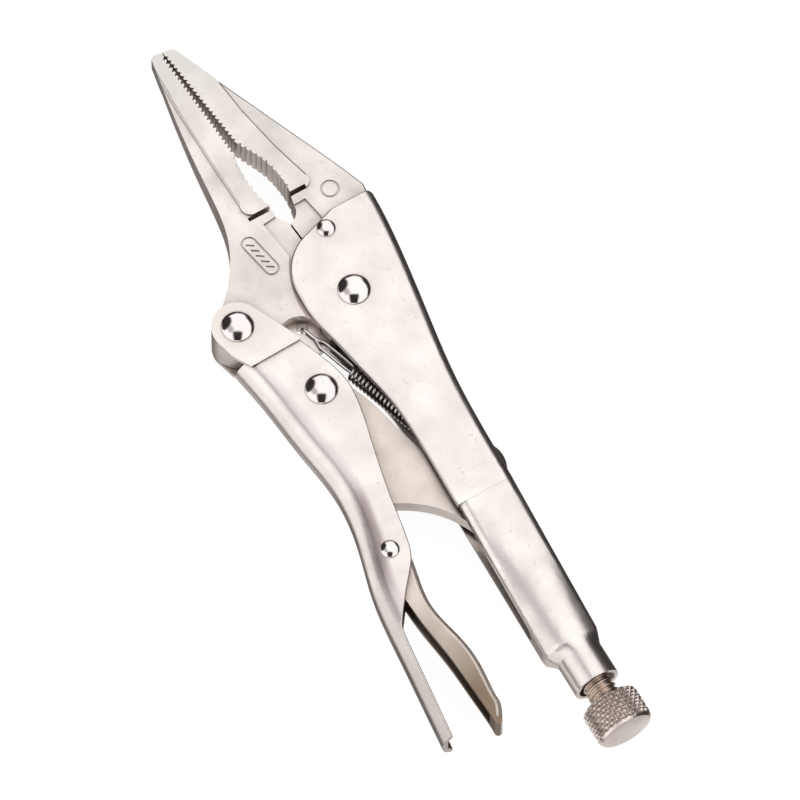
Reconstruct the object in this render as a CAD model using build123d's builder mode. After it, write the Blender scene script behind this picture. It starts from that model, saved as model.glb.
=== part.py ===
from build123d import *
from math import atan2, cos, hypot, sin
import os

os.makedirs("parts", exist_ok=True)

# Long-nose locking pliers lying on their side, in millimetres.
# The nose points to -X, the adjusting knob to +X, and the fixed handle's back to +Y.
# Plan positions are measured from the main pivot, and heights from the tool's middle plane.

# ---- frame: the main pivot from the middle of the tool's box, and the height it lies at
pivot_x = -27.6
pivot_y = 12.55
lay_height = 8.5
side = Plane(origin=(pivot_x, pivot_y, lay_height))

# ---- linkage pivots, from the main pivot
jaw_pin = (-5.9, -31.5)
link_pin = (19.9, -21.3)
link_end = (76.5, -0.6)
lever_pin = (67.7, -28.6)
jaw_fixing = (-18.6, 2.4)

# ---- sheet and forging thicknesses
handle_half = 6.5        # fixed handle, middle plane to outer face
handle_sheet = 1.9
lower_half = 6.1         # movable handle
lower_sheet = 1.5
ear_half = 6.9           # the movable handle's ears stand wider than its cheeks
ear_top_gap = 5.4
body_half = 5.2          # forged jaws outside the handle
tongue_half = 4.5        # jaw tongue and tang inside the handle
grip_step = 0.8          # the gripping bars stand proud of the jaw flanks
tip_grip_half = 3.0
relief_depth = 0.35      # groove along the foot of the fixed grip
plate = 2.5              # one link plate
lever_half = 4.3
lever_sheet = 1.2
lever_edge_r = 1.7

# ---- rivets
shank_r = 3.0
head_r = 4.35
small_shank_r = 1.6
small_head_r = 2.5
dome = 1.6               # rise of a large head
small_dome = 0.95
running = 0.06           # radial clearance round a pin

# ---- adjusting screw and its socket
screw_r = 4.1
knob_r = 7.95
knob_start = 130.9
knob_end = 140.2
screw_tip = link_end[0] + 4.0 + 2.6
socket_r = 6.2
socket_start = 116.0
socket_end = 125.1
screw_y = -0.15

# ---- teeth and jaw lines
nose_tip_x = -84.6
grip_end_x = -31.6
tooth_depth = 0.7
mark_depth = 0.35        # the marks sunk in the jaws' faces
through = 9.0            # half depth of a cut that passes right through the tool


def on_side(height):
    return side.offset(height)


def rim(part, half, shortest, side_of=None):
    """The edges of both flat faces that stand half from the middle plane, down to a shortest length."""
    return part.edges().filter_by(
        lambda e: abs(abs(e.center().Z - lay_height) - half) < 0.02
        and e.length > shortest
        and (side_of is None or side_of(e.center().X - pivot_x, e.center().Y - pivot_y))
    )


def across(x):
    """A plane square to the tool's length: its x runs along Y, its y along Z."""
    origin = (pivot_x + x, pivot_y, lay_height)
    return Plane(origin=origin, x_dir=(0, 1, 0), z_dir=(1, 0, 0))


def grip_half(x):
    slope = (body_half + grip_step - 0.1 - tip_grip_half) / (grip_end_x - nose_tip_x)
    return tip_grip_half + slope * (x - nose_tip_x)


def side_taper(drop, end_half):
    """Side profile of a jaw: it thins towards the nose and is even behind the grip."""
    profile = Plane(origin=(pivot_x, pivot_y, lay_height), x_dir=(1, 0, 0), z_dir=(0, -1, 0))
    with BuildSketch(profile) as sketch:
        with BuildLine():
            tip = grip_half(nose_tip_x - 2) - drop
            Polyline(
                (nose_tip_x - 2, tip),
                (grip_end_x, end_half),
                (20, end_half),
                (20, -end_half),
                (grip_end_x, -end_half),
                (nose_tip_x - 2, -tip),
                close=True,
            )
        make_face()
    return sketch.sketch


def rivet(at, label, cheek_half, shank, head, rise=dome):
    """A dome-headed rivet through both cheeks, one revolved solid."""
    axis_plane = Plane(
        origin=(pivot_x + at[0], pivot_y + at[1], lay_height), x_dir=(1, 0, 0), z_dir=(0, -1, 0)
    )
    top = cheek_half + rise
    brim = cheek_half + 0.12
    shoulder = brim + 0.56 * (top - brim)
    with BuildPart() as piece:
        with BuildSketch(axis_plane):
            with BuildLine():
                Bezier((0, top), (0.35 * head, top), (0.92 * head, shoulder), (head, brim))
                Polyline(
                    (head, brim), (head, cheek_half), (shank, cheek_half),
                    (shank, -cheek_half), (head, -cheek_half), (head, -brim),
                )
                Bezier((head, -brim), (0.92 * head, -shoulder), (0.35 * head, -top), (0, -top))
                Line((0, -top), (0, top))
            make_face()
        axis = Axis((pivot_x + at[0], pivot_y + at[1], 0), (0, 0, 1))
        revolve(axis=axis)
    piece.part.label = label
    export_step(piece.part, f"parts/{label}.step")


# ---- fixed handle: a pressed channel that closes into a tube and a threaded socket
def handle_section(x, low, high, half, bulge, back_r, open_r):
    """Cross-section of the handle from its open side to its back, its cheeks bulged like a barrel."""
    with BuildSketch(across(x)) as section:
        with BuildLine():
            middle = (low + high) / 2
            corner = half - bulge
            Line((low, -corner), (low, corner))
            ThreePointArc((low, corner), (middle, half), (high, corner))
            Line((high, corner), (high, -corner))
            ThreePointArc((high, -corner), (middle, -half), (low, -corner))
        make_face()
        fillet(section.vertices().group_by(Axis.Y)[-1], back_r)
        fillet(section.vertices().group_by(Axis.Y)[0], open_r)
    return section.sketch


channel_end = 66.0
tube_end = 112.0
tube_bulge = 3.1         # how far the cheeks round off across the tube
back_line = [(-21.6, 18.4), (-6, 17.0), (14, 13.9), (34.5, 10.9), (50, 9.9), (channel_end, 9.4)]
open_line = [
    (-7, -13.1), (1.2, -13.2), (9.5, -11.5), (21.5, -9.2), (31.7, -7.3), (40, -6.8), (50, -6.85),
    (channel_end, -7.3),
]


with BuildPart() as fixed_handle:
    with BuildSketch(on_side(0)):
        with BuildLine():
            Spline(back_line, tangents=[(1, -0.03), (1, -0.03)])
            Line(back_line[-1], open_line[-1])
            Spline(list(reversed(open_line)), tangents=[(-1, 0), (-1, 0.04)])
            ThreePointArc(open_line[0], (-15.2, -10), (-19.9, -2.5))
            Polyline((-19.9, -2.5), (-22.8, 6.4), (-22.8, 17.2), back_line[0])
        make_face()
    extrude(amount=handle_half, both=True)
    back_edges = fixed_handle.edges().filter_by(
        lambda e: abs(abs(e.center().Z - lay_height) - handle_half) < 0.01
        and e.center().Y > pivot_y + 8
        and e.length > 20
    )
    fillet(back_edges, 3.0)
    # pressed-out blister over the spring's tab
    with BuildSketch(on_side(0)):
        with BuildLine():
            ThreePointArc((51.0, 7.8), (57.5, 11.2), (64.6, 7.4))
            Line((64.6, 7.4), (51.0, 7.8))
        make_face()
    blister_axis = Axis((pivot_x + 51.0, pivot_y + 7.8, lay_height), (13.6, -0.4, 0))
    revolve(axis=blister_axis)
    with BuildSketch(on_side(0)):
        with BuildLine():
            inner_back = [(x, y - handle_sheet) for x, y in back_line]
            Spline([(-23.5, 16.5)] + inner_back[1:], tangents=[(1, -0.03), (1, -0.03)])
            Polyline(
                (channel_end, 9.4 - handle_sheet), (channel_end, -20), (-30, -20),
                (-30, 16.5), (-23.5, 16.5),
            )
        make_face()
    extrude(amount=handle_half - handle_sheet, both=True, mode=Mode.SUBTRACT)
    # the closed tube behind the channel, its corners rounding off, then drawn in to the socket
    start = handle_section(channel_end - 0.5, -7.2, 9.35, handle_half - 0.04, 0.06, 2.9, 0.6)
    swaged = handle_section(tube_end, -8.7, 7.3, handle_half, tube_bulge, 2.6, 2.6)
    lip = handle_section(tube_end + 1.2, -8.5, 6.95, handle_half - 0.1, tube_bulge, 2.6, 2.6)
    collar_low = screw_y - socket_r
    collar_high = screw_y + socket_r
    collar_bulge = socket_r - 1.0
    collar = handle_section(socket_start, collar_low, collar_high, socket_r, collar_bulge, 2.5, 2.5)
    mouth = handle_section(socket_end, collar_low, collar_high, socket_r, collar_bulge, 2.5, 2.5)
    loft(sections=[start, swaged, lip, collar, mouth], ruled=True)
    # hollow of the tube
    inner = handle_half - handle_sheet
    hollow_start = handle_section(channel_end - 0.5, -5.6, 7.4, inner - 0.05, 0.2, 1.4, 0.6)
    hollow_end = handle_section(tube_end - 1, -6.7, 5.3, inner, 1.9, 1.8, 1.8)
    loft(sections=[hollow_start, hollow_end], mode=Mode.SUBTRACT)
    # the tube's underside stays open up to the socket
    underside = Plane(origin=(pivot_x, pivot_y - 4, lay_height), x_dir=(1, 0, 0), z_dir=(0, -1, 0))
    with BuildSketch(underside):
        with BuildLine():
            wide = inner - 0.1
            Polyline(
                (channel_end - 1, wide), (channel_end + 1, wide), (104, 2.6), (106, 0), (104, -2.6),
                (channel_end + 1, -wide), (channel_end - 1, -wide), close=True,
            )
        make_face()
    extrude(amount=8, mode=Mode.SUBTRACT)
    # the socket's bore and its flared mouth
    with BuildSketch(across(tube_end - 4)):
        with Locations((screw_y, 0)):
            Circle(screw_r + 0.2)
    extrude(amount=socket_end - tube_end + 5, mode=Mode.SUBTRACT)
    with BuildSketch(across(socket_end - 1.6)):
        with Locations((screw_y, 0)):
            Circle(screw_r + 0.2)
    with BuildSketch(across(socket_end + 0.1)):
        with Locations((screw_y, 0)):
            Circle(socket_r - 0.9)
    loft(mode=Mode.SUBTRACT)
    # the spring's tab hangs from the back
    with BuildSketch(on_side(0)):
        with BuildLine():
            Polyline((55.5, 8.6), (55.5, 2.2))
            ThreePointArc((55.5, 2.2), (57.7, 0.2), (59.9, 2.2))
            Polyline((59.9, 2.2), (59.9, 8.4), (55.5, 8.6))
        make_face()
        with Locations((57.7, 2.4)):
            Circle(1.2, mode=Mode.SUBTRACT)
    extrude(amount=0.8, both=True)
    fillet(rim(fixed_handle, handle_half, 5, lambda x, y: x < 60 and y < 15), 0.45)
    # rivet holes
    with BuildSketch(on_side(0)):
        Circle(shank_r + running)
        with Locations(jaw_fixing):
            Circle(small_shank_r + 0.02)
    extrude(amount=handle_half + 1, both=True, mode=Mode.SUBTRACT)
fixed_handle.part.label = "fixed_handle"
export_step(fixed_handle.part, "parts/fixed_handle.step")


# ---- teeth: slanted grooves cut square across a gripping face
def tooth_grooves(start, end, upward, count):
    """V grooves between two points of a tooth line, cut into the jaw above or below it."""
    run = (end[0] - start[0], end[1] - start[1])
    angle = atan2(run[1], run[0])
    rise = 1 if upward else -1
    pitch = hypot(*run) / count
    along = (cos(angle), sin(angle))
    up = (-sin(angle) * rise, cos(angle) * rise)
    groove = ((-0.46 * pitch, -0.3), (0.46 * pitch, -0.3), (0.2 * pitch, tooth_depth))
    with BuildSketch(on_side(0)) as grooves:
        for i in range(count):
            x = start[0] + run[0] * (i + 0.5) / count
            y = start[1] + run[1] * (i + 0.5) / count
            with BuildLine():
                Polyline(
                    *[(x + along[0] * a + up[0] * b, y + along[1] * a + up[1] * b) for a, b in groove],
                    close=True,
                )
            make_face()
    return grooves.sketch


# ---- fixed jaw
with BuildPart() as fixed_jaw:
    # forged flank, from the nose to the handle's front edge
    with BuildSketch(on_side(0)):
        with BuildLine():
            Polyline(
                (nose_tip_x, -8.75), (-84.2, -6.2), (-83.2, -5.2), (-54.1, 6.3), (-35.8, 13.5), (-25.2, 17.5),
                (-23.1, 17.2), (-23.1, 6.4), (-20.4, -2.3), (-20.4, -4.0), (-25.1, -4.4),
            )
            ThreePointArc((-25.1, -4.4), (-26.6, -2.0), (-29.5, -1.1))
            Line((-29.5, -1.1), (-33.4, -0.3))
            ThreePointArc((-33.4, -0.3), (-41.9, -1.1), (-49.5, -4.3))
            Polyline((-49.5, -4.3), (-52.5, -5.5), (nose_tip_x, -8.75))
        make_face()
    extrude(amount=through, both=True)
    flank_profile = side_taper(grip_step, body_half)
    extrude(flank_profile, amount=40, both=True, mode=Mode.INTERSECT)
    outer = fixed_jaw.edges().filter_by(
        lambda e: abs(e.center().Z - lay_height) > 1.5
        and e.length > 2
        and e.center().Y - pivot_y > 0.55 * (e.center().X - pivot_x) + 24
        and abs(e.tangent_at(0.5).X) > 0.5
    )
    fillet(outer, 0.6)
with BuildPart() as fixed_grip:
    with BuildSketch(on_side(0)):
        with BuildLine():
            Polyline(
                (nose_tip_x, -8.75), (-84.2, -6.2), (-83.2, -5.2), (-71.0, -0.6), (-59.6, 0.5),
                (-46.0, 2.8), (-34.9, 5.5),
            )
            ThreePointArc((-34.9, 5.5), (-32.4, 5.3), (grip_end_x, 3.4))
            Polyline((grip_end_x, 3.4), (grip_end_x, -0.6), (-33.4, -0.3))
            ThreePointArc((-33.4, -0.3), (-41.9, -1.1), (-49.5, -4.3))
            Polyline((-49.5, -4.3), (-52.5, -5.5), (nose_tip_x, -8.75))
        make_face()
    extrude(amount=through, both=True)
    grip_profile = side_taper(0, body_half + grip_step - 0.1)
    extrude(grip_profile, amount=40, both=True, mode=Mode.INTERSECT)
# the relief groove along the foot of the grip's step
with BuildPart() as relief:
    with BuildSketch(on_side(0)):
        with BuildLine():
            Polyline(
                (-71.0, -0.65), (-59.6, 0.45), (-46.0, 2.75), (-34.9, 5.45), (-34.3, 5.95), (-35.2, 5.85),
                (-46.2, 3.15), (-59.7, 0.85), (-71.0, -0.2), close=True,
            )
        make_face()
    extrude(amount=through, both=True)
    core = side_taper(grip_step + relief_depth, body_half - relief_depth)
    extrude(core, amount=40, both=True, mode=Mode.SUBTRACT)
with BuildPart() as fixed_jaw_whole:
    add(fixed_jaw.part)
    add(fixed_grip.part)
    add(relief.part, mode=Mode.SUBTRACT)
    # tang between the handle's cheeks, hollowed round the movable jaw's boss
    with BuildSketch(on_side(0)):
        with BuildLine():
            Polyline(
                (-23.4, 15.2), (-11, 14.6), (-6.2, 9.0),
            )
            ThreePointArc((-6.2, 9.0), (-10.4, 3.3), (-10.6, -2.4))
            Polyline((-10.6, -2.4), (-20.3, -4.0), (-23.4, -4.2), (-23.4, 15.2))
        make_face()
    extrude(amount=tongue_half, both=True)
    # teeth
    fine = tooth_grooves((-83.6, -8.7), (-52.5, -5.5), True, 22)
    extrude(fine, amount=through, both=True, mode=Mode.SUBTRACT)
    rising = tooth_grooves((-52.0, -5.3), (-42.6, -1.3), True, 6)
    extrude(rising, amount=through, both=True, mode=Mode.SUBTRACT)
    coarse = tooth_grooves((-42.2, -1.2), (-34.0, -0.3), True, 5)
    extrude(coarse, amount=through, both=True, mode=Mode.SUBTRACT)
    # wire notch behind the teeth
    with BuildSketch(on_side(0)):
        with Locations((-32.0, 0.9)):
            Rectangle(1.1, 6.2)
    extrude(amount=through, both=True, mode=Mode.SUBTRACT)
    # throat pocket in front of the handle, down to the tang's level
    for face in (tongue_half, -through):
        with BuildSketch(on_side(face)):
            Polygon((-29.0, -6), (-29.2, 2.2), (-22.5, 3.4), (-17, 0), (-17, -6), align=None)
        extrude(amount=through - tongue_half, mode=Mode.SUBTRACT)
    # plain ring mark on both faces
    for face in (body_half - mark_depth, -through):
        with BuildSketch(on_side(face)):
            with Locations((-28.2, 9.1)):
                Circle(2.6)
                Circle(1.9, mode=Mode.SUBTRACT)
        extrude(amount=through - body_half + mark_depth, mode=Mode.SUBTRACT)
    with BuildSketch(on_side(0)):
        with Locations(jaw_fixing):
            Circle(small_shank_r + 0.02)
    extrude(amount=through, both=True, mode=Mode.SUBTRACT)
fixed_jaw_whole.part.label = "fixed_jaw"
export_step(fixed_jaw_whole.part, "parts/fixed_jaw.step")


# ---- movable jaw
lobe_r = 6.8
web_half = 1.2
with BuildPart() as movable_flank:
    with BuildSketch(on_side(0)):
        with BuildLine():
            Polyline((nose_tip_x, -9.0), (-85.0, -11.2), (-84.3, -12.2))
            Spline(
                (-84.3, -12.2), (-76.8, -13.5), (-65.6, -15.5), (-50.7, -17.6), (-38.3, -19.0),
                (-30.0, -20.7), (-23.6, -23.5), (-17.4, -27.8), (-12.8, -32.5),
                tangents=[(1, -0.12), (0.62, -0.78)],
            )
            ThreePointArc((-12.8, -32.5), (jaw_pin[0], jaw_pin[1] - lobe_r), (0.7, -30.0))
            Polyline((0.7, -30.0), (0.5, -24.5), (2.6, -14.0))
            ThreePointArc((2.6, -14.0), (-8.5, -13.5), (-16.8, -9.6))
            Polyline((-16.8, -9.6), (-28.2, -10.9), (-28.6, -7.0), (-31.6, -6.9))
            ThreePointArc((-31.6, -6.9), (-42.0, -8.3), (-50.0, -7.3))
            Line((-50.0, -7.3), (nose_tip_x, -9.0))
        make_face()
    extrude(amount=through, both=True)
    extrude(flank_profile, amount=60, both=True, mode=Mode.INTERSECT)
with BuildPart() as movable_grip:
    with BuildSketch(on_side(0)):
        with BuildLine():
            Polyline((nose_tip_x, -9.0), (-85.0, -11.2), (-84.3, -12.2))
            Polyline(
                (-84.3, -12.2), (-76.8, -13.5), (-68.2, -13.9), (-49.3, -14.0), (-35.2, -13.8),
            )
            ThreePointArc((-35.2, -13.8), (-32.6, -13.1), (grip_end_x, -11.2))
            Line((grip_end_x, -11.2), (grip_end_x, -6.9))
            ThreePointArc((-31.6, -6.9), (-42.0, -8.3), (-50.0, -7.3))
            Line((-50.0, -7.3), (nose_tip_x, -9.0))
        make_face()
    extrude(amount=through, both=True)
    extrude(grip_profile, amount=60, both=True, mode=Mode.INTERSECT)
    step = movable_grip.edges().filter_by(
        lambda e: abs(e.center().Z - lay_height) > 1.5
        and e.length > 8
        and e.center().Y - pivot_y < -11.5
        and abs(e.tangent_at(0.5).X) > 0.5
    )
    fillet(step, 0.65)
with BuildPart() as movable_jaw:
    add(movable_flank.part)
    add(movable_grip.part)
    # tongue and boss that turn between the handle's cheeks
    with BuildSketch(on_side(0)):
        with BuildLine():
            Polyline((-29.0, -12.0), (-28.6, -6.9), (-25.6, -4.9), (-20.3, -4.5), (-7.2, -3.6))
            ThreePointArc((-7.2, -3.6), (0, 8.05), (7.2, -3.6))
            Polyline((7.2, -3.6), (8.6, -12.5), (9.4, -19.0), (7.0, -24.0), (0.6, -27.0), (-10.0, -26.0))
            Line((-10.0, -26.0), (-29.0, -12.0))
        make_face()
    extrude(amount=tongue_half, both=True)
    # round recess down to a thin web that carries the spring's hook
    for face in (web_half, -through):
        with BuildSketch(on_side(face)):
            with Locations((4.6, -18.6)):
                Circle(6.3)
            with Locations((9.5, -18.3)):
                Rectangle(12, 12.4)
        extrude(amount=through - web_half, mode=Mode.SUBTRACT)
    with BuildSketch(on_side(0)):
        with Locations((1.0, -16.2)):
            Circle(1.5)
        Circle(shank_r + running)
        with Locations(jaw_pin):
            Circle(shank_r + running)
    extrude(amount=through, both=True, mode=Mode.SUBTRACT)
    fine = tooth_grooves((-83.6, -9.05), (-50.0, -7.3), False, 24)
    extrude(fine, amount=through, both=True, mode=Mode.SUBTRACT)
    for start, end in (
        ((-49.6, -7.4), (-45.4, -8.1)), ((-45.4, -8.1), (-41.0, -8.3)),
        ((-41.0, -8.3), (-36.8, -8.0)), ((-36.8, -8.0), (-32.6, -7.1)),
    ):
        hollow = tooth_grooves(start, end, False, 2)
        extrude(hollow, amount=through, both=True, mode=Mode.SUBTRACT)
    # wire notch behind the teeth
    with BuildSketch(on_side(0)):
        with Locations((-31.2, -9.9)):
            Rectangle(1.1, 7.4)
    extrude(amount=through, both=True, mode=Mode.SUBTRACT)
    # plain oval mark with slanting bars
    for face in (body_half - mark_depth, -through):
        with BuildSketch(on_side(face)):
            with Locations(Location((-20.8, -16.1, 0), (0, 0, 11))):
                SlotOverall(13.2, 4.4)
                SlotOverall(12.0, 3.2, mode=Mode.SUBTRACT)
            for i in range(5):
                with Locations(Location((-24.7 + 1.95 * i, -16.86 + 0.38 * i, 0), (0, 0, 55))):
                    Rectangle(2.2, 0.5)
        extrude(amount=through - body_half + mark_depth, mode=Mode.SUBTRACT)
movable_jaw.part.label = "movable_jaw"
export_step(movable_jaw.part, "parts/movable_jaw.step")


# ---- movable handle: wide ears, a deep channel and a shallow trough at the tail
spine_line = [
    (3.6, -37.4), (14.0, -35.8), (30.6, -34.1), (45.3, -32.5), (58.9, -33.9), (75.2, -38.2),
    (92.1, -40.5), (120.4, -43.5),
]
cheek_line = [
    (3.6, -19.7), (13.5, -16.0), (20.9, -14.3), (26.5, -14.5), (36.0, -16.5), (54.6, -20.8),
    (66.2, -22.9), (71.2, -24.3), (79.2, -30.3), (86.0, -35.4), (91.8, -37.2),
]
spine_r = 5.2


def spine_edges(part, half):
    """The two long edges along the handle's spine."""
    return part.edges().filter_by(
        lambda e: abs(abs(e.center().Z - lay_height) - half) < 0.01
        and e.length > 100
        and e.center().Y < pivot_y - 30
    )


with BuildPart() as handle_void:
    with BuildSketch(on_side(0)):
        with BuildLine():
            raised = [(x, y + lower_sheet) for x, y in spine_line]
            Spline(raised, tangents=[(1, 0.16), (1, -0.1)])
            Polyline(raised[-1], (125, raised[-1][1]), (125, 8), (0, 8), (0, raised[0][1]), raised[0])
        make_face()
    extrude(amount=lower_half - lower_sheet, both=True)
    fillet(spine_edges(handle_void, lower_half - lower_sheet), spine_r - lower_sheet)
with BuildPart() as movable_handle:
    with BuildSketch(on_side(0)):
        with BuildLine():
            Spline(spine_line, tangents=[(1, 0.16), (1, -0.1)])
            Polyline(spine_line[-1], (121.0, 0), (3.6, 0), spine_line[0])
        make_face()
    extrude(amount=lower_half, both=True)
    fillet(spine_edges(movable_handle, lower_half), spine_r)
    add(handle_void.part, mode=Mode.SUBTRACT)
    # the cheeks' upper line
    with BuildSketch(on_side(0)):
        with BuildLine():
            Spline(cheek_line, tangents=[(1, 0.36), (1, -0.1)])
            Polyline(cheek_line[-1], (121.5, -40.7), (122, 5), (3.0, 5), (3.0, -19.9), cheek_line[0])
        make_face()
    extrude(amount=lower_half + 1, both=True, mode=Mode.SUBTRACT)
    fillet(rim(movable_handle, lower_half, 20, lambda x, y: x < 100 and y > -33), 0.4)
    # ears either side of the jaw
    for low in (ear_top_gap, -ear_half):
        with BuildSketch(on_side(low)):
            with BuildLine():
                ThreePointArc((-8.4, -25.1), (jaw_pin[0] - 6.9, jaw_pin[1]), (-4.6, -38.2))
                Polyline((-4.6, -38.2), (0.6, -36.8), (5.6, -33.9), (5.2, -19.2), (1.9, -20.3), (-8.4, -25.1))
            make_face()
        extrude(amount=ear_half - ear_top_gap)
    with BuildSketch(on_side(0)):
        with Locations(jaw_pin, link_pin):
            Circle(shank_r + 0.02)
        with Locations(lever_pin):
            Circle(small_shank_r + 0.02)
    extrude(amount=through, both=True, mode=Mode.SUBTRACT)
movable_handle.part.label = "movable_handle"
export_step(movable_handle.part, "parts/movable_handle.step")


# ---- toggle link: two stamped plates, side by side
for label, low in (("link_plate_upper", 0.02), ("link_plate_lower", -plate - 0.02)):
    with BuildPart() as link_plate:
        with BuildSketch(on_side(low)):
            with BuildLine():
                end_r = 4.0
                near_r = 6.6
                Spline(
                    (link_pin[0] - 1.2, link_pin[1] + near_r - 0.1), (27.2, -11.6), (34.9, -9.7), (44.7, -7.4),
                    (60.0, -2.6), (link_end[0] - 2.0, link_end[1] + end_r - 0.2),
                    tangents=[(1, 0.3), (1, 0.25)],
                )
                ThreePointArc(
                    (link_end[0] - 2.0, link_end[1] + end_r - 0.2),
                    (link_end[0] + end_r, link_end[1]),
                    (link_end[0] - 0.5, link_end[1] - end_r),
                )
                ThreePointArc(
                    (link_end[0] - 0.5, link_end[1] - end_r), (62.6, -11.5), (56.0, -20.4)
                )
                Polyline((56.0, -20.4), (50.0, -24.2), (link_pin[0] + 1.5, link_pin[1] - near_r + 0.1))
                ThreePointArc(
                    (link_pin[0] + 1.5, link_pin[1] - near_r + 0.1),
                    (link_pin[0] - near_r, link_pin[1]),
                    (link_pin[0] - 1.2, link_pin[1] + near_r - 0.1),
                )
            make_face()
            with Locations(link_pin):
                Circle(shank_r + running, mode=Mode.SUBTRACT)
        extrude(amount=plate)
    link_plate.part.label = label
    export_step(link_plate.part, f"parts/{label}.step")

# ---- spacers between the link and the movable handle's cheeks
for label, low in (("link_spacer_upper", plate + 0.07), ("link_spacer_lower", -lower_half + lower_sheet)):
    with BuildPart() as spacer:
        with BuildSketch(on_side(low)):
            with Locations(link_pin):
                Circle(4.8)
                Circle(shank_r + 0.02, mode=Mode.SUBTRACT)
        extrude(amount=lower_half - lower_sheet - plate - 0.07)
    spacer.part.label = label
    export_step(spacer.part, f"parts/{label}.step")


# ---- release lever: a small channel, its web towards the fixed handle
lever_top = [
    (60.2, -24.9), (66.0, -24.0), (72.5, -24.5), (85.4, -26.6), (96.7, -24.7), (107.0, -24.0),
    (116.0, -24.8), (122.6, -27.0),
]
with BuildPart() as release_lever:
    with BuildSketch(on_side(0)):
        with BuildLine():
            Spline(lever_top, tangents=[(1, 0.2), (0.9, -0.5)])
            ThreePointArc((122.6, -27.0), (123.2, -28.4), (121.8, -29.0))
            Spline(
                (121.8, -29.0), (110.4, -29.4), (100.0, -30.0), (88.0, -31.4), (76.0, -31.8), (67.7, -31.6),
                tangents=[(-1, 0.02), (-1, 0)],
            )
            ThreePointArc((67.7, -31.6), (63.4, -30.6), (60.2, -24.9))
        make_face()
    extrude(amount=lever_half, both=True)
    web_edges = release_lever.edges().filter_by(
        lambda e: abs(abs(e.center().Z - lay_height) - lever_half) < 0.01
        and e.length > 50
        and e.center().Y > pivot_y - 28
    )
    fillet(web_edges, lever_edge_r)
    with BuildSketch(on_side(0)):
        with BuildLine():
            lowered = [(x, y - lever_sheet) for x, y in lever_top[:-1]]
            Spline(lowered, tangents=[(1, 0.2), (1, -0.2)])
            Polyline(lowered[-1], (119.6, -27.8), (119.6, -40), (55, -40), (55, lowered[0][1]), lowered[0])
        make_face()
    extrude(amount=lever_half - lever_sheet, both=True, mode=Mode.SUBTRACT)
    with BuildSketch(on_side(0)):
        with Locations(lever_pin):
            Circle(small_shank_r + running)
    extrude(amount=through, both=True, mode=Mode.SUBTRACT)
release_lever.part.label = "release_lever"
export_step(release_lever.part, "parts/release_lever.step")


# ---- adjusting screw with its knob, one turned piece
with BuildPart() as adjusting_screw:
    turning = Plane(origin=(pivot_x, pivot_y + screw_y, lay_height))
    with BuildSketch(turning):
        with BuildLine():
            Polyline(
                (screw_tip, 0), (screw_tip, screw_r - 1.4), (screw_tip + 1.4, screw_r),
                (129.0, screw_r), (129.0, 5.2), (knob_start, knob_r), (knob_end - 0.4, knob_r),
                (knob_end, knob_r - 0.4), (knob_end, 0), close=True,
            )
        make_face()
    revolve(axis=Axis((pivot_x, pivot_y + screw_y, lay_height), (1, 0, 0)))
adjusting_screw.part.label = "adjusting_screw"
export_step(adjusting_screw.part, "parts/adjusting_screw.step")


# ---- tension spring: the coil as a sleeve, with its hooks
spring_from = (1.0, -16.2)
spring_to = (57.7, 2.4)
coil_r = 2.4
wire_r = 0.4
coil_start = 17.5
coil_end = 51.0
hook_height = 1.75
run = (spring_to[0] - spring_from[0], spring_to[1] - spring_from[1])
length = hypot(*run)
along = (run[0] / length, run[1] / length)


def spring_point(t, height):
    """A point t along the spring from its hook in the jaw."""
    x = pivot_x + spring_from[0] + along[0] * t
    y = pivot_y + spring_from[1] + along[1] * t
    return (x, y, lay_height + height)


with BuildPart() as spring:
    coil_plane = Plane(origin=spring_point(coil_start, 0), z_dir=(along[0], along[1], 0))
    with BuildSketch(coil_plane):
        Circle(coil_r)
        Circle(coil_r - 2 * wire_r, mode=Mode.SUBTRACT)
    extrude(amount=coil_end - coil_start)
    # each hook: a straight wire over its plate, bent down through the plate's hole
    for hook, coil in ((0, coil_start + 0.6), (length, coil_end - 0.6)):
        towards = 1 if coil > hook else -1
        bend = spring_point(hook, hook_height)
        with BuildSketch(Plane(origin=bend, z_dir=(along[0] * towards, along[1] * towards, 0))):
            Circle(wire_r)
        extrude(amount=abs(coil - hook))
        with BuildSketch(Plane(origin=bend, z_dir=(0, 0, -1))):
            Circle(wire_r)
        extrude(amount=2 * hook_height)
        with Locations(bend):
            Sphere(wire_r)
spring.part.label = "spring"
export_step(spring.part, "parts/spring.step")


# ---- rivets
rivet((0, 0), "main_pivot_rivet", handle_half, shank_r, head_r)
rivet(jaw_pin, "jaw_handle_rivet", ear_half, shank_r, head_r)
rivet(link_pin, "link_rivet", lower_half, shank_r, head_r)
rivet(lever_pin, "lever_rivet", lower_half, small_shank_r, small_head_r, small_dome)
rivet(jaw_fixing, "jaw_fixing_rivet", handle_half, small_shank_r, small_head_r, small_dome)
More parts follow.
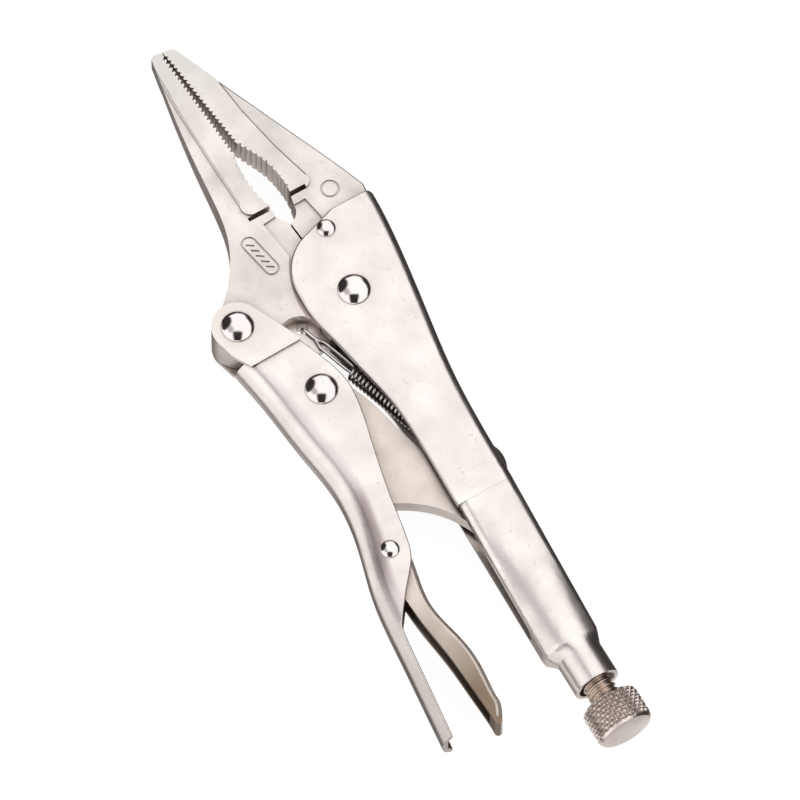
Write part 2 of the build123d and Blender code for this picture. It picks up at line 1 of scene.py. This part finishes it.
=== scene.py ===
import bpy
import bmesh
import math
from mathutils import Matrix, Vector


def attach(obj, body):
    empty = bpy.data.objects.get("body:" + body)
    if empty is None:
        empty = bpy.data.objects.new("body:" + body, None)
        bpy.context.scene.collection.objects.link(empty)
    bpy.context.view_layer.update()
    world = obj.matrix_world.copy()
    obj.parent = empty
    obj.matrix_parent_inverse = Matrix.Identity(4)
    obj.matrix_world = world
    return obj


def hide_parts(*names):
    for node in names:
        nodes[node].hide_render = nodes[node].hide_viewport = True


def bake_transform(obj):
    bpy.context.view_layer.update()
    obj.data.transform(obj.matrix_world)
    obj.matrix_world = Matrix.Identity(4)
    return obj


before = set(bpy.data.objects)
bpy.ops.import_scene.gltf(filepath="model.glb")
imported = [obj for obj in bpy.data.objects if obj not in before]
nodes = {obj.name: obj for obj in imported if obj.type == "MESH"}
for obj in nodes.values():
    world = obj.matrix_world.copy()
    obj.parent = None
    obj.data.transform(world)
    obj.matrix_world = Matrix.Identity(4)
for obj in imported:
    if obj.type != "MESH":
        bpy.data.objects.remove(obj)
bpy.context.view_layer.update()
scene = bpy.context.scene

# ---- the tool's own frame, in metres: the main pivot and the middle plane
MM = 0.001
PIVOT = Vector((-27.6, 12.55, 8.5)) * MM


def at(x, y, z=0.0):
    """A point given in millimetres from the main pivot, on the middle plane."""
    return PIVOT + Vector((x, y, z)) * MM


# ---- node helpers
def new_material(name):
    mat = bpy.data.materials.new(name)
    mat.use_nodes = True
    mat.node_tree.nodes.clear()
    return mat, mat.node_tree.nodes, mat.node_tree.links


def noise(tree, vector, scale, detail=3.0, rough=0.55, stretch=None):
    if stretch is not None:
        mapping = tree.nodes.new("ShaderNodeMapping")
        mapping.inputs["Scale"].default_value = stretch
        tree.links.new(vector, mapping.inputs["Vector"])
        vector = mapping.outputs["Vector"]
    tex = tree.nodes.new("ShaderNodeTexNoise")
    tex.inputs["Scale"].default_value = scale
    tex.inputs["Detail"].default_value = detail
    tex.inputs["Roughness"].default_value = rough
    tree.links.new(vector, tex.inputs["Vector"])
    return tex.outputs["Fac"]


def remap(tree, value, low, high, to_low, to_high):
    node = tree.nodes.new("ShaderNodeMapRange")
    node.inputs["From Min"].default_value = low
    node.inputs["From Max"].default_value = high
    node.inputs["To Min"].default_value = to_low
    node.inputs["To Max"].default_value = to_high
    tree.links.new(value, node.inputs["Value"])
    return node.outputs["Result"]


def smooth(tree, value, low, high):
    node = tree.nodes.new("ShaderNodeMapRange")
    node.interpolation_type = "SMOOTHSTEP"
    node.inputs["From Min"].default_value = low
    node.inputs["From Max"].default_value = high
    tree.links.new(value, node.inputs["Value"])
    return node.outputs["Result"]


def blend_colours(tree, factor, a, b):
    node = tree.nodes.new("ShaderNodeMix")
    node.data_type = "RGBA"
    tree.links.new(factor, node.inputs["Factor"])
    for socket, value in ((node.inputs["A"], a), (node.inputs["B"], b)):
        if isinstance(value, tuple):
            socket.default_value = value + (1.0,)
        else:
            tree.links.new(value, socket)
    return node.outputs["Result"]


def axis(tree, vector, name):
    node = tree.nodes.new("ShaderNodeSeparateXYZ")
    tree.links.new(vector, node.inputs["Vector"])
    return node.outputs[name]


def both(tree, a, b):
    node = tree.nodes.new("ShaderNodeMath")
    node.operation = "MULTIPLY"
    tree.links.new(a, node.inputs[0])
    tree.links.new(b, node.inputs[1])
    return node.outputs["Value"]


def bump(tree, height, strength, distance, normal=None):
    node = tree.nodes.new("ShaderNodeBump")
    node.inputs["Strength"].default_value = strength
    node.inputs["Distance"].default_value = distance
    tree.links.new(height, node.inputs["Height"])
    if normal is not None:
        tree.links.new(normal, node.inputs["Normal"])
    return node.outputs["Normal"]


def fold_shade_band(tree, where, line):
    """Painted shade in a band beside a folded edge, and its darkest painted part. The edge is points from the main
    pivot.
    """
    across, lengthwise = axis(tree, where, "Y"), axis(tree, where, "X")
    start, end = line[0][0], line[-1][0]
    low = min(y for _, y in line)
    high = max(y for _, y in line)
    curve = tree.nodes.new("ShaderNodeFloatCurve")
    points = curve.mapping.curves[0].points
    while len(points) < len(line):
        points.new(0.5, 0.5)
    for point, (x, y) in zip(points, line):
        point.location = ((x - start) / (end - start), (y - low) / (high - low))
    curve.mapping.update()
    along = remap(tree, lengthwise, at(start, 0).x, at(end, 0).x, 0, 1)
    tree.links.new(along, curve.inputs["Value"])
    edge = remap(tree, curve.outputs["Value"], 0, 1, at(0, low).y, at(0, high).y)
    away = tree.nodes.new("ShaderNodeMath")
    away.operation = "SUBTRACT"
    tree.links.new(across, away.inputs[0])
    tree.links.new(edge, away.inputs[1])
    away = away.outputs["Value"]
    band = both(tree, smooth(tree, away, 2.6 * MM, 4.4 * MM), smooth(tree, away, 7.4 * MM, 5.0 * MM))
    band = both(tree, band, smooth(tree, lengthwise, at(start, 0).x, at(start + 12, 0).x))
    darkest_stretch = both(tree, smooth(tree, lengthwise, at(42, 0).x, at(56, 0).x),
                smooth(tree, lengthwise, at(84, 0).x, at(68, 0).x))
    return band, both(tree, band, darkest_stretch)


# painted shade colours: in corners and crevices, in the band beside a fold, and the darkest part of that band
CREVICE_SHADE_COLOUR, FOLD_SHADE_COLOUR, FOLD_DARK_SHADE_COLOUR = (0.2, 0.13, 0.085), (0.66, 0.61, 0.62), (0.3, 0.25, 0.24)
PEBBLE_DEPTH, LINE_DEPTH = 0.00009, 0.00005


def plating(name, light, dark, rough=(0.26, 0.4), pebble=0.25, pebble_size=0.9, streak=0.0,
            along=(0.06, 1, 1), crevice_shade=0.75, reach=0.003, shades=(), fold=None):
    """Nickel plating over steel: mottled tone, pebbles, dark flecks, painted shade in corners and crevices, grain if
    streak is set.

    Each shade is (from x, to x, colour): the plating turns to that tint between the two, on its flat faces.
    A fold is a line of points along a folded edge: shade is painted on the plating in a band beside it, darkest in
    its middle stretch."""
    mat, _, _ = new_material(name)
    tree = mat.node_tree
    out = tree.nodes.new("ShaderNodeOutputMaterial")
    bsdf = tree.nodes.new("ShaderNodeBsdfPrincipled")
    bsdf.inputs["Metallic"].default_value = 1.0
    tree.links.new(bsdf.outputs["BSDF"], out.inputs["Surface"])
    where = tree.nodes.new("ShaderNodeTexCoord").outputs["Object"]

    cloud = noise(tree, where, 90.0, 4.0, 0.6)
    grain = noise(tree, where, 1000.0 / pebble_size, 2.5, 0.5)
    tone = remap(tree, cloud, 0.32, 0.7, 0.0, 1.0)
    colour = blend_colours(tree, tone, dark, light)
    fleck = remap(tree, noise(tree, where, 700.0, 2.0, 0.5), 0.66, 0.74, 0.0, 0.35)
    colour = blend_colours(tree, fleck, colour, tuple(c * 0.62 for c in dark))
    for start, end, tint in shades:
        reached = remap(tree, axis(tree, where, "X"), at(start, 0).x, at(end, 0).x, 0.0, 1.0)
        facing = tree.nodes.new("ShaderNodeTexCoord").outputs["Normal"]
        upright = remap(tree, axis(tree, facing, "Y"), 0.04, 0.2, 1.0, 0.0)
        colour = blend_colours(tree, both(tree, reached, upright), colour, tint)
    # painted shade beside the fold, darker between x 42 and 84
    if fold is not None:
        shaded_band, darkest_band = fold_shade_band(tree, where, fold)
        colour = blend_colours(tree, remap(tree, shaded_band, 0, 1, 0, 0.8), colour, FOLD_SHADE_COLOUR)
        colour = blend_colours(tree, remap(tree, darkest_band, 0, 1, 0, 0.85), colour, FOLD_DARK_SHADE_COLOUR)
    # painted shade: ambient occlusion darkens the plating in corners, crevices and beside taller parts
    corner = tree.nodes.new("ShaderNodeAmbientOcclusion")
    corner.samples = 8
    corner.inputs["Distance"].default_value = reach
    crevice_darkening = remap(tree, corner.outputs["AO"], 0.3, 0.97, crevice_shade, 0.0)
    colour = blend_colours(tree, crevice_darkening, colour, CREVICE_SHADE_COLOUR)
    tree.links.new(colour, bsdf.inputs["Base Color"])

    gloss = remap(tree, cloud, 0.3, 0.72, rough[1], rough[0])
    tree.links.new(gloss, bsdf.inputs["Roughness"])

    normal = bump(tree, grain, pebble, PEBBLE_DEPTH)
    if streak:
        lines = noise(tree, where, 1500.0, 2.0, 0.5, stretch=along)
        normal = bump(tree, lines, streak, LINE_DEPTH, normal)
    tree.links.new(normal, bsdf.inputs["Normal"])
    return mat


sheet = plating("nickel_sheet", (0.86, 0.815, 0.79), (0.76, 0.715, 0.69), rough=(0.24, 0.36), pebble=0.22)
forging = plating("nickel_forging", (0.82, 0.775, 0.745), (0.71, 0.665, 0.635), rough=(0.3, 0.44), pebble=0.4,
                  pebble_size=1.2, shades=[(-52.0, -82.0, (0.71, 0.69, 0.665))])
# a wider reach, so the painted shade spreads onto the plates beside the handle's cheek
plates = plating("nickel_plate", (0.80, 0.745, 0.70), (0.69, 0.635, 0.59), rough=(0.3, 0.42), pebble=0.25,
                 reach=0.007)
# the movable handle's folded edge, from the ears to the tail, beside which a band of shade is painted
FOLD = [(3.6, -37.4), (14.0, -35.8), (30.6, -34.1), (45.3, -32.5), (58.9, -33.9), (75.2, -38.2), (92.1, -40.5),
        (120.4, -43.5)]
# the tints on the tail and on the ears, and the band along the fold, are painted shade
lower_sheet = plating("nickel_sheet_lower", (0.86, 0.815, 0.79), (0.76, 0.715, 0.69), rough=(0.24, 0.36),
                      pebble=0.22, shades=[(70.0, 100.0, (0.6, 0.555, 0.54)), (4.0, -2.0, (0.76, 0.715, 0.675))],
                      fold=FOLD)
# the lever's darker base colour, its dark brown tip and its wider reach of crevice darkening are painted shade
lever = plating("nickel_lever", (0.74, 0.68, 0.625), (0.64, 0.57, 0.52), rough=(0.3, 0.45), pebble=0.15,
                streak=0.3, along=(1, 0.05, 1), reach=0.006, shades=[(82.0, 112.0, (0.26, 0.195, 0.14))])
domes = plating("nickel_dome", (0.84, 0.80, 0.785), (0.77, 0.73, 0.715), rough=(0.06, 0.12), pebble=0.05)
# the thread and the knurl get painted shade in their grooves, stronger on the knurl
turned = plating("nickel_turned", (0.86, 0.74, 0.66), (0.72, 0.60, 0.52), rough=(0.28, 0.42), pebble=0.15, crevice_shade=0.6)
knurl_metal = plating("nickel_knurl", (0.92, 0.86, 0.82), (0.78, 0.71, 0.67), rough=(0.22, 0.34), pebble=0.2,
                      crevice_shade=0.85)
wire = plating("spring_wire", (0.88, 0.87, 0.89), (0.72, 0.70, 0.71), rough=(0.18, 0.3), pebble=0.05)

FINISH = {
    "fixed_handle": sheet, "movable_handle": lower_sheet,
    "fixed_jaw": forging, "movable_jaw": forging,
    "link_plate_upper": plates, "link_plate_lower": plates,
    "link_spacer_upper": plates, "link_spacer_lower": plates,
    "release_lever": lever, "adjusting_screw": turned, "spring": wire,
    "main_pivot_rivet": domes, "jaw_handle_rivet": domes, "link_rivet": domes,
    "lever_rivet": domes, "jaw_fixing_rivet": domes,
}
for name, node in nodes.items():
    node.data.materials.clear()
    node.data.materials.append(FINISH[name])


# ---- mesh helpers
def mesh_object(name, verts, faces, material, smooth_angle=40):
    mesh = bpy.data.meshes.new(name)
    mesh.from_pydata(verts, [], faces)
    mesh.update()
    bm = bmesh.new()
    bm.from_mesh(mesh)
    bmesh.ops.recalc_face_normals(bm, faces=bm.faces)
    bm.to_mesh(mesh)
    bm.free()
    mesh.materials.append(material)
    mesh.shade_smooth()
    mesh.set_sharp_from_angle(angle=math.radians(smooth_angle))
    obj = bpy.data.objects.new(name, mesh)
    scene.collection.objects.link(obj)
    return obj


def rings_to_mesh(rings):
    """Vertices and quads of a closed run of rings, with a cap on each end."""
    count = len(rings[0])
    verts = [point for ring in rings for point in ring]
    faces = []
    for r in range(len(rings) - 1):
        for i in range(count):
            j = (i + 1) % count
            faces.append((r * count + i, r * count + j, (r + 1) * count + j, (r + 1) * count + i))
    faces.append(tuple(range(count)))
    last = (len(rings) - 1) * count
    faces.append(tuple(last + i for i in reversed(range(count))))
    return verts, faces


# ---- adjusting screw: rolled thread, undercut neck, diamond-knurled knob with a turned end
SCREW_Y = -0.15
THREAD_R, ROOT_DEPTH, PITCH = 4.08, 0.7, 1.5
LEAD_IN, RUN_OUT, TIP_CUT, NECK_RISE = 1.4, 0.8, 1.4, 0.78
TIP_X, THREAD_END, KNOB_START, KNOB_END, KNOB_R = 83.1, 130.4, 130.6, 140.2, 7.95


def turned_rings(stations, radius_at, sides):
    rings = []
    for x in stations:
        ring = []
        for i in range(sides):
            a = 2 * math.pi * i / sides
            r = radius_at(x, a)
            ring.append(at(x, SCREW_Y + r * math.cos(a), r * math.sin(a)))
        rings.append(ring)
    return rings


def thread_radius(x, a):
    turn = ((x - TIP_X) / PITCH - a / (2 * math.pi)) % 1.0
    flank = abs(turn - 0.5) * 2
    cut = min(max((flank - 0.16) / 0.66, 0.0), 1.0)
    full = THREAD_R - ROOT_DEPTH * cut
    lead = min(1.0, (x - TIP_X) / LEAD_IN)
    if lead < 1:
        return min(full, THREAD_R - TIP_CUT + TIP_CUT * lead)
    runout = min(1.0, max(0.0, (THREAD_END - x) / RUN_OUT))
    neck_r = THREAD_R - TIP_CUT + NECK_RISE
    return full * runout + neck_r * (1 - runout)


steps = int((THREAD_END - TIP_X) / (PITCH / 10))
stations = [TIP_X + (THREAD_END - TIP_X) * i / steps for i in range(steps + 1)]
verts, faces = rings_to_mesh(turned_rings(stations, thread_radius, 56))
thread = mesh_object("screw_thread", verts, faces, turned, 50)

KNURLS = 24
KNOB_NEAR_R, KNURL_EDGE, KNURL_DEPTH, KNURL_FADE = 6.6, 0.35, 0.95, 0.25
HUB_R, FACE_R, FACE_MIDDLE_R = 3.5, 6.9, 0.3
CHAMFER_START, FACE_BEVEL = 131.2, 139.5


def knob_radius(x, a):
    if x <= CHAMFER_START:
        rise = (x - KNOB_START) / (CHAMFER_START - KNOB_START)
        return KNOB_NEAR_R + (KNOB_R - KNURL_EDGE - KNOB_NEAR_R) * rise
    if x >= FACE_BEVEL:
        return KNOB_R - KNURL_EDGE - (x - FACE_BEVEL) * 0.9
    lead = (x - CHAMFER_START) / (2 * math.pi * KNOB_R / KNURLS)
    around = KNURLS * a / (2 * math.pi)
    one = abs(((around + lead) % 1.0) - 0.5) * 2
    two = abs(((around - lead) % 1.0) - 0.5) * 2
    valley = max(one, two)
    fade = min(1.0, (x - CHAMFER_START) / KNURL_FADE, (FACE_BEVEL - x) / KNURL_FADE)
    return KNOB_R - KNURL_EDGE + fade * (KNURL_EDGE - KNURL_DEPTH * valley ** 1.2)


rows = 48
knob_x = [129.0, 129.9, KNOB_START, KNOB_START + 0.05] + [
    CHAMFER_START + (FACE_BEVEL - CHAMFER_START) * i / rows for i in range(rows + 1)
] + [139.95, KNOB_END - 0.02]


def knob_profile(x, a):
    if x < KNOB_START:
        return HUB_R
    return knob_radius(x, a)


rings = turned_rings(knob_x, knob_profile, KNURLS * 8)
for face_r in (FACE_R, FACE_MIDDLE_R):
    rings += turned_rings([KNOB_END], lambda _, a, r=face_r: r, KNURLS * 8)
verts, faces = rings_to_mesh(rings)
knob = mesh_object("screw_knob", verts, faces, knurl_metal, 32)
for piece in (thread, knob):
    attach(piece, "screw_body")
    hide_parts("adjusting_screw")


# ---- tension spring: a stretched coil with a long double-wire hook at the jaw and a short one at the handle
SPRING_FROM, SPRING_TO = (1.0, -16.2), (57.7, 2.4)
COIL_R, WIRE_R = 1.95, 0.44
TURNS, TURN_STEPS = 26, 16
COIL_START, COIL_END = 17.6, 51.2
HOOK_Z = 1.75
run_x, run_y = SPRING_TO[0] - SPRING_FROM[0], SPRING_TO[1] - SPRING_FROM[1]
span = math.hypot(run_x, run_y)
dir_x, dir_y = run_x / span, run_y / span


def spring_at(t, side=0.0, z=0.0):
    """A point along the spring: t from the jaw's hole, side square to it, z above the middle plane."""
    x = SPRING_FROM[0] + dir_x * t - dir_y * side
    y = SPRING_FROM[1] + dir_y * t + dir_x * side
    return at(x, y, z)


def wire_along(points, radius=WIRE_R, sides=10):
    """Rings square to a line of points, kept from twisting."""
    rings = []
    normal = None
    for i, point in enumerate(points):
        before = points[max(i - 1, 0)]
        after = points[min(i + 1, len(points) - 1)]
        tangent = (after - before).normalized()
        if normal is None:
            normal = tangent.orthogonal().normalized()
        normal = (normal - tangent * normal.dot(tangent)).normalized()
        binormal = tangent.cross(normal)
        rings.append([
            point + (normal * math.cos(a) + binormal * math.sin(a)) * radius * MM
            for a in (2 * math.pi * k / sides for k in range(sides))
        ])
    return rings


def rounded(points, cuts=5):
    """A smooth line through given points."""
    line = []
    for i in range(len(points) - 1):
        p0 = points[max(i - 1, 0)]
        p1, p2 = points[i], points[i + 1]
        p3 = points[min(i + 2, len(points) - 1)]
        for c in range(cuts):
            t = c / cuts
            line.append(0.5 * (
                2 * p1 + (p2 - p0) * t + (2 * p0 - 5 * p1 + 4 * p2 - p3) * t ** 2
                + (3 * p1 - p0 - 3 * p2 + p3) * t ** 3
            ))
    line.append(points[-1])
    return line


coil_line = []
for i in range(TURNS * TURN_STEPS + 1):
    a = 2 * math.pi * i / TURN_STEPS
    t = COIL_START + (COIL_END - COIL_START) * i / (TURNS * TURN_STEPS)
    coil_line.append(spring_at(t, COIL_R * math.cos(a), COIL_R * math.sin(a)))
jaw_hook = rounded([
    spring_at(0.0, 0.0, -1.5), spring_at(0.0, 0.0, 0.6), spring_at(0.35, 0.0, 1.5), spring_at(1.4, 0.0, HOOK_Z),
    spring_at(3.6, 0.0, HOOK_Z), spring_at(5.6, 0.25, HOOK_Z), spring_at(7.0, 0.85, HOOK_Z),
    spring_at(9.5, 1.0, HOOK_Z), spring_at(15.5, 1.0, HOOK_Z), spring_at(17.2, 0.8, HOOK_Z),
    spring_at(17.9, 0.3, 1.9),
])
return_wire = rounded([
    spring_at(4.6, -0.1, HOOK_Z - 0.2), spring_at(5.9, -0.5, HOOK_Z - 0.1), spring_at(7.4, -0.95, HOOK_Z),
    spring_at(10.0, -1.0, HOOK_Z), spring_at(15.5, -1.0, HOOK_Z), spring_at(17.0, -0.9, HOOK_Z - 0.1),
    spring_at(17.9, -0.9, 1.6),
])
tail_hook = rounded([
    spring_at(51.0, 0.6, 1.8), spring_at(52.4, 0.2, HOOK_Z), spring_at(56.0, 0.0, HOOK_Z),
    spring_at(58.6, 0.0, HOOK_Z - 0.1), spring_at(59.6, 0.0, 1.0), spring_at(59.67, 0.0, -1.5),
])
verts, faces = [], []
for line in (coil_line, jaw_hook, return_wire, tail_hook):
    v, f = rings_to_mesh(wire_along(line))
    start = len(verts)
    verts += v
    faces += [tuple(start + i for i in face) for face in f]
coil = mesh_object("tension_spring", verts, faces, wire, 50)
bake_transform(coil)
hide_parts("spring")


# ---- studio: a bright dome over a dark room, a pale floor
def towards(tree, direction, vector):
    node = tree.nodes.new("ShaderNodeVectorMath")
    node.operation = "DOT_PRODUCT"
    tree.links.new(direction, node.inputs[0])
    node.inputs[1].default_value = vector
    return node.outputs["Value"]


AZIMUTH, ELEVATION = math.radians(59.8), math.radians(67.0)
BACK = Vector((
    math.sin(AZIMUTH) * math.cos(ELEVATION),
    -math.cos(AZIMUTH) * math.cos(ELEVATION),
    math.sin(ELEVATION),
))

world = bpy.data.worlds.new("studio")
scene.world = world
world.use_nodes = True
wt = world.node_tree
wt.nodes.clear()
sky_out = wt.nodes.new("ShaderNodeOutputWorld")
sky = wt.nodes.new("ShaderNodeBackground")
wt.links.new(sky.outputs["Background"], sky_out.inputs["Surface"])
direction = wt.nodes.new("ShaderNodeTexCoord").outputs["Generated"]
height = towards(wt, direction, (0, 0, 1))
across_y = towards(wt, direction, (0, 1, 0))
along_x = towards(wt, direction, (1, 0, 0))

WHITE, ROOM, DARK = (1.0, 0.98, 0.965), (0.075, 0.06, 0.055), (0.03, 0.026, 0.026)
# a dark room with a bright wall low on the near side
near_wall = both(wt, smooth(wt, across_y, -0.2, -0.55), smooth(wt, height, -0.72, -0.45))
room = blend_colours(wt, near_wall, ROOM, (0.85, 0.82, 0.80))
below = blend_colours(wt, smooth(wt, along_x, -0.42, -0.15), (0.1, 0.085, 0.08), (0.6, 0.575, 0.555))
room = blend_colours(wt, smooth(wt, height, -0.74, -0.88), room, below)
# the tent overhead
room = blend_colours(wt, smooth(wt, height, 0.2, 0.42), room, WHITE)
# dark gap towards the nose
gap = both(wt, smooth(wt, along_x, -0.84, -0.93), smooth(wt, height, 0.42, 0.32))
room = blend_colours(wt, gap, room, DARK)
# a soft join between two ceiling panels
join = both(wt, smooth(wt, across_y, -0.52, -0.36), smooth(wt, across_y, -0.08, -0.22))
overhead = both(wt, smooth(wt, height, 0.5, 0.75), smooth(wt, along_x, -0.05, -0.2))
join_amount = remap(wt, both(wt, join, overhead), 0, 1, 0, 0.8)
room = blend_colours(wt, join_amount, room, (0.36, 0.33, 0.35))
# dark flags low on the left and along the right of the tent
flag_left = smooth(wt, towards(wt, direction, Vector((-0.79, -0.34, 0.51))), 0.87, 0.93)
room = blend_colours(wt, flag_left, room, DARK)
flag_right = both(wt, smooth(wt, across_y, 0.64, 0.8), smooth(wt, height, 0.66, 0.5))
room = blend_colours(wt, flag_right, room, DARK)
# a dark stand on the camera's side, which shows mostly in the domed heads
stand_side = towards(wt, direction, Vector((math.cos(AZIMUTH), math.sin(AZIMUTH), 0)))
stand_out = towards(wt, direction, Vector((math.sin(AZIMUTH), -math.cos(AZIMUTH), 0)))
stand = both(wt, smooth(wt, stand_side, -0.36, -0.2), smooth(wt, stand_side, 0.36, 0.2))
stand = both(wt, stand, both(wt, smooth(wt, stand_out, -0.02, 0.1), smooth(wt, stand_out, 0.9, 0.84)))
stand = both(wt, stand, smooth(wt, height, -0.1, 0.0))
room = blend_colours(wt, stand, room, DARK)
# seen directly, the surroundings are plain white paper
seen = wt.nodes.new("ShaderNodeLightPath").outputs["Is Camera Ray"]
room = blend_colours(wt, seen, room, (1.0, 1.0, 1.0))
wt.links.new(room, sky.inputs["Color"])
sky.inputs["Strength"].default_value = 1.27

floor_mesh = bpy.data.meshes.new("studio_floor")
FLOOR_HALF = 3.0
corners = [(FLOOR_HALF * x, FLOOR_HALF * y, 0) for x, y in ((-1, -1), (1, -1), (1, 1), (-1, 1))]
floor_mesh.from_pydata(corners, [], [(0, 1, 2, 3)])
floor = bpy.data.objects.new("studio_floor", floor_mesh)
scene.collection.objects.link(floor)
floor_mat, _, _ = new_material("studio_paper")
ft = floor_mat.node_tree
paper_out = ft.nodes.new("ShaderNodeOutputMaterial")
paper = ft.nodes.new("ShaderNodeBsdfPrincipled")
paper.inputs["Base Color"].default_value = (0.12, 0.12, 0.12, 1)
paper.inputs["Roughness"].default_value = 0.9
paper.inputs["Specular IOR Level"].default_value = 0.0
paper.inputs["Emission Color"].default_value = (1, 1, 1, 1)
paper.inputs["Emission Strength"].default_value = 0.95
ft.links.new(paper.outputs["BSDF"], paper_out.inputs["Surface"])
floor_mesh.materials.append(floor_mat)
floor.visible_glossy = False

# ---- camera: a long lens, nearly square to the flat side
LENS, SENSOR = 1000.0, 36.0
# the picture is 800 wide, and each millimetre of the tool takes up this many of them
PICTURE_WIDTH, SCALE = 800, 3.856
FRAME_WIDTH = PICTURE_WIDTH / SCALE * MM
cam_data = bpy.data.cameras.new("camera")
cam_data.sensor_width = SENSOR
cam_data.lens = LENS
cam_data.clip_start = 0.1
cam_data.clip_end = 20.0
camera = bpy.data.objects.new("camera", cam_data)
scene.collection.objects.link(camera)
aim = at(30.63, -4.02)
distance = FRAME_WIDTH / 2 / math.tan(math.atan(SENSOR / 2 / LENS))
camera.location = aim + BACK * distance
camera.rotation_mode = "QUATERNION"
camera.rotation_quaternion = (-BACK).to_track_quat("-Z", "Y")
scene.camera = camera
scene.view_settings.view_transform = "Standard"
